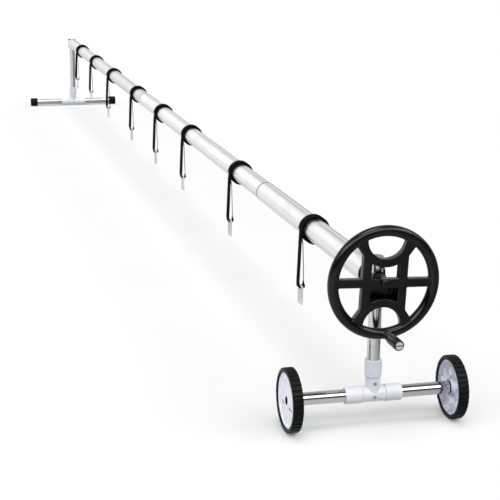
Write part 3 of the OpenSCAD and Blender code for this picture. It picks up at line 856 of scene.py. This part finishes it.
@dataclass
class RoadWheels:
    """The two road wheels: white mouldings with arms, hub rings and a rounded rim edge, and lugged tyres."""

    finishes: Finishes
    wheel_voxel: float = 1.0 * MM
    tyre_voxel: float = 1.1 * MM
    lip: float = 5.0 * MM
    lip_inset: float = 0.4 * MM
    lip_sunk: float = 0.6 * MM
    inner_depth: float = 9.6 * MM
    outer_depth: float = 9.4 * MM
    hub_ring_radius: float = 26.0 * MM
    hub_ring: float = 3.0 * MM
    hole_rise: float = 20.0 * MM
    hole_ring_radius: float = 5.0 * MM
    hole_ring: float = 2.4 * MM
    bore_ring_radius: float = 13.6 * MM
    bore_ring: float = 2.6 * MM
    # Radius within which the bore's wall is painted black.
    dark_bore_radius: float = 12.6 * MM
    slot_drop: float = 17.0 * MM
    slot_reach: float = 4.0 * MM
    slot_edge: float = 7.6 * MM
    slot_facing: float = -0.3

    def build(self) -> None:
        """Makes both wheels and both tyres."""
        for side in ("left", "right"):
            low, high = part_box(f"tyre_{side}")
            centre = (low + high) / 2
            outward = 1.0 if side == "right" else -1.0
            wheel = moulded(
                f"wheel_{side}_moulding",
                [copy_of_node(f"wheel_{side}", f"wheel_{side}_copy"), *self.details(side, centre, outward)],
                self.wheel_voxel,
                4,
            )
            dressed(wheel, self.finishes.wheel_white, "wheel_white", f"{side}_wheel", f"wheel_{side}")
            self.shade_openings(wheel, centre, outward)
            tyre = moulded(f"tyre_{side}_moulding", [copy_of_node(f"tyre_{side}", f"tyre_{side}_copy")],
                           self.tyre_voxel, 3)
            dressed(tyre, self.finishes.tyre_rubber, "tyre_black", f"{side}_wheel", f"tyre_{side}")

    def shade_openings(self, wheel: Shape, centre: Vector, outward: float) -> None:
        """Paints the bore's wall black, and the two slots on the outer side grey as painted shade inside
        them.

        Args:
            wheel: The wheel's moulding.
            centre: Centre of the wheel.
            outward: 1 where the outer side faces +Y, or -1.
        """
        bore_index = len(wheel.data.materials)
        wheel.data.materials.append(self.finishes.cap_rubber)
        slot_shade_index = len(wheel.data.materials)
        wheel.data.materials.append(self.finishes.grey_plastic)
        for face in wheel.data.polygons:
            away = face.center - centre
            depth = away.y * outward
            from_axle = math.hypot(away.x, away.z)
            in_slot = abs(away.z + self.slot_drop) < self.slot_reach and 0.0 < depth < self.slot_edge
            if depth > 0.0 and from_axle < self.dark_bore_radius:
                face.material_index = bore_index
            # Painted shade: slot faces that look outwards are painted grey.
            elif in_slot and face.normal.y * outward > self.slot_facing:
                face.material_index = slot_shade_index

    def details(self, side: str, centre: Vector, outward: float) -> list[Shape]:
        """Makes rounded rim edges and the rings on both sides of the hub, which fuse with the wheel.

        Args:
            side: left or right.
            centre: Centre of the wheel.
            outward: 1 where the outer side faces +Y, or -1.

        Returns:
            Closed shapes that overlap the wheel.
        """
        low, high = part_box(f"wheel_{side}")
        rim = (high.z - low.z) / 2
        half = (high.y - low.y) / 2
        shapes = []
        for name, sign in (("inner", -outward), ("outer", outward)):
            edge = centre + Axis.Y.vector(sign * (half - self.lip / 2 - self.lip_inset))
            radius = rim - self.lip / 2 - self.lip_sunk
            shapes.append(ring(f"{side}_{name}_lip", edge, Axis.Y, radius, self.lip))
        inner_face = centre - Axis.Y.vector(outward * self.inner_depth)
        shapes.append(ring(f"{side}_hub_ring", inner_face, Axis.Y, self.hub_ring_radius, self.hub_ring))
        for rise in (-self.hole_rise, self.hole_rise):
            spot = inner_face + Axis.Z.vector(rise)
            shapes.append(ring(f"{side}_hole_ring", spot, Axis.Y, self.hole_ring_radius, self.hole_ring))
        outer_face = centre + Axis.Y.vector(outward * self.outer_depth)
        shapes.append(ring(f"{side}_bore_ring", outer_face, Axis.Y, self.bore_ring_radius, self.bore_ring))
        return shapes


# ---------------------------------------------------------------- handwheel


@dataclass
class Handwheel:
    """Handwheel moulding, its cap, and the grip on its slotted spindle."""

    finishes: Finishes
    voxel: float = 1.6 * MM
    rest_turn: float = -2.2
    bolt_radius: float = 8.4 * MM
    spindle_radius: float = 5.0 * MM
    spindle_play: float = 0.3 * MM
    grip_groove: float = 1.1 * MM
    # Distance from the spindle's end to the middle of its band of painted slot shade.
    slot_shade: float = 10.7 * MM

    def build(self) -> None:
        """Makes the wheel and the grip, and paints what shows of the bolt."""
        done = self.finishes
        low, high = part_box("handwheel")
        centre = (low + high) / 2
        wheel = turned_about(copy_of_node("handwheel", "handwheel_copy"), centre, Axis.X, -self.rest_turn)
        wheel = moulded("handwheel_moulding", [wheel], self.voxel, 5)
        turned_about(wheel, centre, Axis.X, self.rest_turn)
        dressed(wheel, done.black_plastic, "black_plastic", "reel", "handwheel")
        dressed(self.cap(), done.black_plastic, "black_plastic", "reel", "bolt_cap")
        dressed(self.grip(), done.grip_plastic, "black_plastic", "grip", "hand_grip")
        repaint(done.bolt_steel, ["handwheel_bolt", "drive_shaft"])
        # Painted shade: a band of the chrome spindle under its end is painted dark, for the shade in the
        # slot.
        repaint(done.chrome(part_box("grip_spindle")[1].x - self.slot_shade), ["grip_spindle"])

    def cap(self) -> Shape:
        """Makes the round cap with its domed edge, hollow for the bolt's head.

        Returns:
            The cap.
        """
        low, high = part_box("bolt_cap")
        start = Vector((low.x, (low.y + high.y) / 2, (low.z + high.z) / 2))
        length, radius = high.x - low.x, (high.z - low.z) / 2
        bolt = self.bolt_radius
        profile = [
            (0.0, bolt), (0.0, radius), (length - 4.0 * MM, radius), (length - 2.2 * MM, radius - 0.5 * MM),
            (length - 0.9 * MM, radius - 1.7 * MM), (length - 0.2 * MM, radius - 3.6 * MM),
            (length, radius - 6.0 * MM), (length - 0.1 * MM, 0.3 * MM), (length - 2.8 * MM, 0.3 * MM),
            (length - 3.0 * MM, bolt - 0.4 * MM),
        ]
        return smoothed(spun("bolt_cap_moulding", profile, start))

    def grip(self) -> Shape:
        """Makes the hand grip: waisted neck, groove, full barrel, and rounded lip round the spindle's head.

        Returns:
            The grip.
        """
        low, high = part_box("hand_grip")
        start = Vector((low.x, (low.y + high.y) / 2, (low.z + high.z) / 2))
        length, full = high.x - low.x, (high.z - low.z) / 2
        bore = self.spindle_radius + self.spindle_play
        recess, recess_radius = 3.6 * MM, 11.4 * MM
        neck = full - 3.2 * MM
        profile = [
            (0.0, bore), (0.0, neck - 2.0 * MM), (2.0 * MM, neck), (5.0 * MM, neck + 0.6 * MM),
            (12.0 * MM, neck + 0.4 * MM), (20.0 * MM, neck + 0.9 * MM), (27.0 * MM, neck + 1.9 * MM),
            (28.0 * MM, full - self.grip_groove), (30.0 * MM, full - self.grip_groove),
            (31.0 * MM, full - 0.3 * MM), (38.0 * MM, full), (60.0 * MM, full),
            (length - 6.0 * MM, full - 0.1 * MM), (length - 2.5 * MM, full - 0.4 * MM),
            (length - 0.7 * MM, full - 1.0 * MM), (length, full - 2.0 * MM),
            (length - 0.4 * MM, recess_radius), (length - recess, recess_radius), (length - recess, bore),
        ]
        return smoothed(spun("grip_moulding", profile, start))


# ---------------------------------------------------------------- tube sections


@dataclass
class TubeSections:
    """The three keyed tube sections with their plugs, shafts and lock screws."""

    finishes: Finishes

    def build(self) -> None:
        """Paints the tubes, with a dark band at the end where one section slides into the next."""
        done = self.finishes
        for node in ("outer_tube", "middle_tube"):
            repaint(done.aluminium(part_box(node)[0].x), [node])
        repaint(done.worn_aluminium(None), ["inner_tube"])
        repaint(done.black_plastic, ["outer_end_plug", "inner_end_plug", "shaft_retainer"])
        repaint(done.bolt_steel, ["far_shaft", "outer_lock_screw", "middle_lock_screw"])


# ---------------------------------------------------------------- straps


@dataclass(frozen=True)
class Station:
    """One place along a strap: its middle and the direction across it."""

    middle: Vector
    across: Vector


@dataclass
class Straps:
    """Eight straps: two turns of webbing wound askew, a hanging loop and a clip."""

    finishes: Finishes
    hanging_width: float = 28.0 * MM
    hanging_thickness: float = 2.4 * MM
    wound_width: float = 37.0 * MM
    spread_width: float = 45.0 * MM
    wound_thickness: float = 4.6 * MM
    layer: float = 5.0 * MM
    swell: float = 0.6 * MM
    drift: float = 4.0 * MM
    wound_degrees: float = 710.0
    second_turn_at: float = 325.0
    second_turn_over: float = 60.0
    lead_over: float = 75.0
    bend_above: float = 2.0 * MM
    bend_below: float = 30.0 * MM
    front_inset: float = 1.5 * MM
    back_inset: float = 3.6 * MM
    bottom_inset: float = 1.5 * MM
    corner: float = 5.0 * MM
    selvedge: float = 0.5 * MM
    clip_voxel: float = 0.9 * MM
    clip_face_inset: float = 1.2 * MM
    rim_inset: float = 3.0 * MM
    rim: float = 1.6 * MM
    rim_end: float = 1.0 * MM
    plate_drop: float = 17.0 * MM
    hole_height: float = 14.0 * MM
    boss_radius: float = 5.4 * MM
    front_twists: tuple[float, float] = (2.0, 18.0)
    rear_twists: tuple[float, float] = (17.0, 8.0)
    step: float = 3.0 * MM
    sections: dict[str, tuple[int, ...]] = field(default_factory=lambda: {
        "reel": (1,), "middle_section": (2, 3, 4), "inner_section": (5, 6, 7, 8)})
    bands: dict[str, str] = field(default_factory=lambda: {
        "reel": "strap_band_outer",
        "middle_section": "strap_bands_middle",
        "inner_section": "strap_bands_inner",
    })

    def build(self) -> None:
        """Makes the turns once for each tube size, and a loop and a clip for each strap."""
        clip = self.clip()
        for body, numbers in self.sections.items():
            first = self.centre(numbers[0], body)
            wound = self.wound(numbers[0], body, first)
            for number in numbers:
                centre = self.centre(number, body)
                turns = copy_of(wound, f"webbing_turns_{number}", centre - first)
                nodes = [self.bands[body]] if number == numbers[0] else []
                dressed(turns, self.finishes.webbing, "webbing", body, *nodes)
                self.hang(self.loop(number, body, centre), number, body, centre)
                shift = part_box(f"strap_clip_{number}")[0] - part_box("strap_clip_1")[0]
                part = copy_of(clip, f"clip_{number}", shift)
                dressed(part, self.finishes.clip_plastic, "clip_plastic", f"tail_{number}",
                        f"strap_clip_{number}")
            bpy.data.objects.remove(wound)
        bpy.data.objects.remove(clip)

    def hang(self, loop: Shape, number: int, body: str, centre: Vector) -> None:
        """Gives a loop its finish, hides its CAD node and bakes its place into its mesh.

        Args:
            loop: The loop.
            number: The strap's number.
            body: Body of the tube section.
            centre: Point on the reel's axis in the middle of the strap.
        """
        dressed(loop, self.finishes.webbing, "webbing", "", f"strap_tail_{number}")
        top = centre - Axis.Y.vector(self.outer_radius(body))
        top + Axis.Z.vector(self.bend_above)
        top - Axis.Z.vector(self.bend_below)
        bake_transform(loop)

    def centre(self, number: int, body: str) -> Vector:
        """Finds the point on the reel's axis in the middle of a strap.

        Args:
            number: The strap's number.
            body: Body of the tube section that it hangs from.

        Returns:
            The point.
        """
        low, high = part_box(f"strap_tail_{number}")
        band_low, band_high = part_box(self.bands[body])
        return Vector(((low.x + high.x) / 2, 0.0, (band_low.z + band_high.z) / 2))

    def outer_radius(self, body: str) -> float:
        """Radius of the outer turn's outer face."""
        low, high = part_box(self.bands[body])
        return (high.z - low.z) / 2

    def wound(self, number: int, body: str, centre: Vector) -> Shape:
        """Two turns of webbing round the tube, the outer one nearer the handwheel.

        Args:
            number: The strap's number.
            body: Body of the tube section that it is wound on.
            centre: Point on the reel's axis in the middle of the strap.

        Returns:
            The wound strip.
        """
        outer = self.outer_radius(body) - self.wound_thickness / 2 + self.swell
        inner = outer - self.layer
        total = math.radians(self.wound_degrees)
        change = math.radians(self.second_turn_at)
        count = int(total * outer / self.step)
        stations = []
        for i in range(count + 1):
            turned = total * i / count
            share = ease((turned - change) / math.radians(self.second_turn_over))
            lead = ease(turned / math.radians(self.lead_over))
            radius = outer + (inner - outer) * share
            angle = math.pi - turned
            side = self.drift * (lead - 2.0 * share)
            middle = centre + Vector((side, radius * math.cos(angle), radius * math.sin(angle)))
            stations.append(Station(middle, Axis.X.vector()))
        width = self.spread_width if body == "inner_section" else self.wound_width
        return self.strip(f"turns_of_{number}", stations, width, self.wound_thickness)

    def loop(self, number: int, body: str, centre: Vector) -> Shape:
        """Hanging loop: down from the outer turn, round the clip's bar and up again to its own back.

        Args:
            number: The strap's number.
            body: Body of the tube section that the strap hangs from.
            centre: Point on the reel's axis in the middle of the strap.

        Returns:
            The loop.
        """
        low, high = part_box(f"strap_tail_{number}")
        start = -(self.outer_radius(body) - self.wound_thickness / 2)
        front = low.y + self.front_inset
        back = high.y - self.back_inset
        bottom = low.z - centre.z + self.bottom_inset
        corner = self.corner
        points = [(start, 0.0)]
        points += [(front, bottom + corner), (front + 1.5 * MM, bottom + 1.4 * MM), (front + corner, bottom)]
        points += [(back - corner, bottom), (back - 1.5 * MM, bottom + 1.4 * MM), (back, bottom + corner)]
        points += [
            (start + 8.4 * MM, -48.0 * MM), (start + 3.6 * MM, -24.0 * MM), (start + 3.1 * MM, -16.0 * MM)]
        along_reel = math.sqrt((number - 1) / 7)
        front_twist, rear_twist = (a + (b - a) * along_reel for a, b in (self.front_twists, self.rear_twists))
        rear_start, rear_end = len(points) - 4, len(points) - 2
        stations = []
        for place, (y, z) in walked(points, self.step):
            front_share = ease(place * 6.0) * ease((1.0 - place) * 12.0)
            rear_share = ease((place - rear_start) * 8.0) * (1.0 - ease(place - rear_end + 0.5))
            angle = math.radians(front_twist * front_share - rear_twist * rear_share)
            across = Vector((math.cos(angle), math.sin(angle), 0.0))
            stations.append(Station(centre + Vector((0.0, y, z)), across))
        return self.strip(f"webbing_loop_{number}", stations, self.hanging_width, self.hanging_thickness)

    def strip(self, name: str, stations: Sequence[Station], width: float, thickness: float) -> Shape:
        """Flat webbing laid along its stations, with its thickness and rounded selvedges.

        Args:
            name: Name of the piece.
            stations: Places along the strip, about one step apart.
            width: Width of the webbing.
            thickness: Thickness of the webbing.

        Returns:
            The strip, with a UV map in centimetres.
        """
        ways = 6
        shape = added(name, bpy.ops.mesh.primitive_grid_add, x_subdivisions=ways,
                      y_subdivisions=len(stations) - 1, size=2.0)
        run = [0.0]
        for before, after in zip(stations, stations[1:]):
            run.append(run[-1] + (after.middle - before.middle).length)
        places = {}
        for vertex in shape.data.vertices:
            row = round((vertex.co.y + 1.0) / 2.0 * (len(stations) - 1))
            station = stations[row]
            across = vertex.co.x * width / 2
            places[vertex.index] = (across, run[row])
            vertex.co = station.middle + station.across * across
        layer = shape.data.uv_layers.active or shape.data.uv_layers.new(name="UVMap")
        for corner in shape.data.loops:
            across, along = places[corner.vertex_index]
            layer.data[corner.index].uv = (across * 100.0, along * 100.0)
        modified(shape, "SOLIDIFY", thickness=thickness, offset=0.0, use_even_offset=True)
        modified(shape, "BEVEL", width=self.selvedge, segments=2, limit_method="ANGLE",
                 angle_limit=math.radians(60.0))
        return smoothed(shape, 50.0)

    def clip(self) -> Shape:
        """Makes the moulded clip: a rounded bar, a rim along its plate's sides and a boss round its hole.

        Returns:
            The clip's pattern.
        """
        low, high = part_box("strap_clip_1")
        middle = (low + high) / 2
        face = high.y - self.clip_face_inset
        shapes = [copy_of_node("strap_clip_1", "clip_copy")]
        rim, end = self.rim, self.rim_end
        plate_top = high.z - self.plate_drop
        for sign in (-1.0, 1.0):
            side = middle.x + sign * ((high.x - low.x) / 2 - self.rim_inset)
            for out in (low.y + end, high.y - end):
                shapes.append(block("clip_rim", (side - rim, out - end, low.z + end),
                                    (side + rim, out + end, plate_top)))
        boss = Vector((middle.x, middle.y, low.z + self.hole_height))
        shapes.append(ring("clip_boss", boss, Axis.Y, self.boss_radius, face - low.y))
        return moulded("clip_pattern", shapes, self.clip_voxel, 3)


def ease(share: float) -> float:
    """Smooth step from 0 to 1, clamped outside."""
    share = min(1.0, max(0.0, share))
    return share * share * (3.0 - 2.0 * share)


def walked(points: Sequence[tuple[float, float]], step: float) -> list[tuple[float, tuple[float, float]]]:
    """Walks a polyline in steps.

    Args:
        points: Corners of the line.
        step: Longest step.

    Returns:
        For each place its number among the corners, with the share of the way to the next, and the
        point itself.
    """
    found = []
    for number, (before, after) in enumerate(zip(points, points[1:])):
        length = math.dist(before, after)
        parts = max(1, math.ceil(length / step))
        for i in range(parts):
            share = i / parts
            found.append((number + share, tuple(a + (b - a) * share for a, b in zip(before, after))))
    found.append((float(len(points) - 1), points[-1]))
    return found


# ---------------------------------------------------------------- studio


@dataclass
class Studio:
    """Pale floor, soft light and the camera."""

    place: Vector = field(default_factory=lambda: Vector((6.73241, -1.32705, 1.49626)))
    heading: Vector = field(default_factory=lambda: Vector((-0.9360, 0.2495, -0.2485)))
    roll: float = 0.674
    lens: float = 99.6
    sensor: float = 36.0
    sight: tuple[float, float] = (0.1, 200.0)
    floor_size: float = 160.0
    floor_shade: float = 0.5
    floor_glow: float = 0.14
    floor_middle: float = 1.1
    floor_mirrored: tuple[float, float] = (1.0, 0.36)
    backdrop: float = 0.95
    ahead: tuple[tuple[float, float], ...] = (
        (0.0, 0.03), (0.37, 0.03), (0.43, 2.0), (0.55, 2.2), (0.60, 6.0), (0.72, 6.0), (0.77, 2.0),
        (0.84, 2.0), (0.89, 0.03), (1.0, 0.02))
    behind: tuple[tuple[float, float], ...] = (
        (0.0, 0.56), (0.3, 0.62), (0.6, 0.60), (0.88, 0.42), (0.94, 0.03), (1.0, 0.02))
    side_blend: float = 0.15
    spot: Vector = field(default_factory=lambda: Vector((-0.936, -0.25, 0.25)))
    spot_edge: tuple[float, float] = (0.90, 0.99)
    spot_glow: float = 0.62
    key_energy: float = 1.5
    key_angle: float = 32.0
    key_heading: Vector = field(default_factory=lambda: Vector((-0.12, 0.05, -1.0)))

    def build(self) -> None:
        """Makes the camera, the floor and the light."""
        self.camera()
        self.floor()
        self.sky()
        self.key_light()
        bpy.context.scene.view_settings.view_transform = "Standard"

    def camera(self) -> None:
        """Makes the camera, with its slight roll."""
        data = bpy.data.cameras.new("studio_camera")
        data.sensor_width = self.sensor
        data.lens = self.lens
        data.clip_start, data.clip_end = self.sight
        camera = bpy.data.objects.new("studio_camera", data)
        bpy.context.scene.collection.objects.link(camera)
        camera.rotation_mode = "QUATERNION"
        camera.location = self.place
        upright = self.heading.to_track_quat("-Z", "Y")
        camera.rotation_quaternion = upright @ Quaternion((0.0, 0.0, 1.0), math.radians(self.roll))
        bpy.context.scene.camera = camera

    def floor(self) -> None:
        """Makes the wide pale floor, which reflections see brighter on one side."""
        floor = added("studio_floor", bpy.ops.mesh.primitive_plane_add, size=self.floor_size)
        material = bpy.data.materials.new("studio_floor")
        material.use_nodes = True
        tree = material.node_tree
        tree.nodes.clear()
        output = new_node(tree, "OutputMaterial")
        diffuse = new_node(tree, "BsdfDiffuse", Color=grey(self.floor_shade))
        glow = new_node(tree, "Emission", Strength=self.floor_glow)
        seen = new_node(tree, "AddShader")
        place = new_node(tree, "TexCoord")
        parts = new_node(tree, "SeparateXYZ")
        across = new_node(tree, "MapRange", From_Min=-self.floor_middle, From_Max=self.floor_middle,
                          To_Min=self.floor_mirrored[0], To_Max=self.floor_mirrored[1])
        across.interpolation_type = "SMOOTHSTEP"
        mirrored = new_node(tree, "Emission")
        wire(tree, (
            (place.outputs["Object"], parts.inputs[0]),
            (parts.outputs["Y"], across.inputs["Value"]),
            (across.outputs["Result"], mirrored.inputs["Strength"]),
            (diffuse.outputs[0], seen.inputs[0]),
            (glow.outputs[0], seen.inputs[1]),
        ))
        choose_for_camera(tree, mirrored, seen, output)
        floor.data.materials.append(material)

    def sky(self) -> None:
        """Makes the light round the object: a soft box ahead, a soft spot behind and a dark ceiling."""
        world = bpy.data.worlds.new("studio")
        bpy.context.scene.world = world
        world.use_nodes = True
        tree = world.node_tree
        background = tree.nodes["Background"]
        source = new_node(tree, "TexCoord")
        parts = new_node(tree, "SeparateXYZ")
        ahead = ramp(new_node(tree, "ValToRGB"), self.ahead)
        behind = ramp(new_node(tree, "ValToRGB"), self.behind)
        side = new_node(tree, "MapRange", From_Min=-self.side_blend, From_Max=self.side_blend)
        both = new_node(tree, "Mix")
        both.data_type = "RGBA"
        spot = new_node(tree, "VectorMath")
        spot.operation = "DOT_PRODUCT"
        spot.inputs[1].default_value = self.spot.normalized()
        glow = new_node(tree, "MapRange", From_Min=self.spot_edge[0], From_Max=self.spot_edge[1],
                        To_Max=self.spot_glow)
        glow.interpolation_type = "SMOOTHSTEP"
        total = new_node(tree, "MixRGB", Fac=1.0)
        total.blend_type = "ADD"
        plain = new_node(tree, "Background", Color=grey(self.backdrop))
        wire(tree, (
            (source.outputs["Generated"], parts.inputs[0]),
            (parts.outputs["Z"], ahead.inputs[0]),
            (parts.outputs["Z"], behind.inputs[0]),
            (parts.outputs["X"], side.inputs["Value"]),
            (source.outputs["Generated"], spot.inputs[0]),
            (spot.outputs["Value"], glow.inputs["Value"]),
            (side.outputs["Result"], both.inputs["Factor"]),
            (behind.outputs["Color"], both.inputs["A"]),
            (ahead.outputs["Color"], both.inputs["B"]),
            (both.outputs["Result"], total.inputs["Color1"]),
            (glow.outputs["Result"], total.inputs["Color2"]),
            (total.outputs["Color"], background.inputs["Color"]),
        ))
        choose_for_camera(tree, background, plain, tree.nodes["World Output"])

    def key_light(self) -> None:
        """Makes a soft light from above and a little behind, whose shadows are faint."""
        data = bpy.data.lights.new("key_light", "SUN")
        data.energy = self.key_energy
        data.angle = math.radians(self.key_angle)
        light = bpy.data.objects.new("key_light", data)
        bpy.context.scene.collection.objects.link(light)
        light.rotation_euler = self.key_heading.to_track_quat("-Z", "Y").to_euler()


def grey(shade: float) -> tuple[float, float, float, float]:
    """Opaque grey as a socket takes it."""
    return (shade, shade, shade, 1.0)


def new_node(tree: bpy.types.NodeTree, kind: str, **values: object) -> bpy.types.Node:
    """Adds a shader node.

    Args:
        tree: Node tree that it goes into.
        kind: Rest of its type's name after ShaderNode.
        values: Value for each input; an underscore stands for a space in its name.

    Returns:
        The node.
    """
    node = tree.nodes.new(f"ShaderNode{kind}")
    for name, value in values.items():
        node.inputs[name.replace("_", " ")].default_value = value
    return node


def wire(tree: bpy.types.NodeTree, pairs: Iterable[tuple[Socket, Socket]]) -> None:
    """Joins sockets, the source first in each pair."""
    for source, target in pairs:
        tree.links.new(source, target)


def choose_for_camera(tree: bpy.types.NodeTree, mirrored: bpy.types.Node, seen: bpy.types.Node,
                      output: bpy.types.Node) -> None:
    """Shows one shader to the camera and another to every other ray.

    Args:
        tree: Node tree of the floor or the world.
        mirrored: Shader for every other ray.
        seen: Shader for the camera.
        output: Output node.
    """
    choice = new_node(tree, "MixShader")
    path = new_node(tree, "LightPath")
    wire(tree, (
        (path.outputs["Is Camera Ray"], choice.inputs[0]),
        (mirrored.outputs[0], choice.inputs[1]),
        (seen.outputs[0], choice.inputs[2]),
        (choice.outputs[0], output.inputs["Surface"]),
    ))


def ramp(node: bpy.types.Node, stops: Sequence[tuple[float, float]]) -> bpy.types.Node:
    """Sets the grey stops of a colour ramp.

    Args:
        node: The ramp.
        stops: Place and brightness of each stop, in order.

    Returns:
        The same node.
    """
    elements = node.color_ramp.elements
    while len(elements) < len(stops):
        elements.new(0.5)
    for element, (place, value) in zip(elements, stops):
        element.position = place
        element.color = grey(value)
    return node


def main() -> None:
    """Builds the sub-assemblies in order."""
    logging.basicConfig(level=logging.INFO, format="%(name)s: %(message)s")
    finishes = Finishes.make()
    Studio().build()
    for assembly in (Stands(finishes), RoadWheels(finishes), Handwheel(finishes), TubeSections(finishes),
                     Straps(finishes)):
        assembly.build()
        log.info("%s done", type(assembly).__name__)


if __name__ == "__main__":
    main()
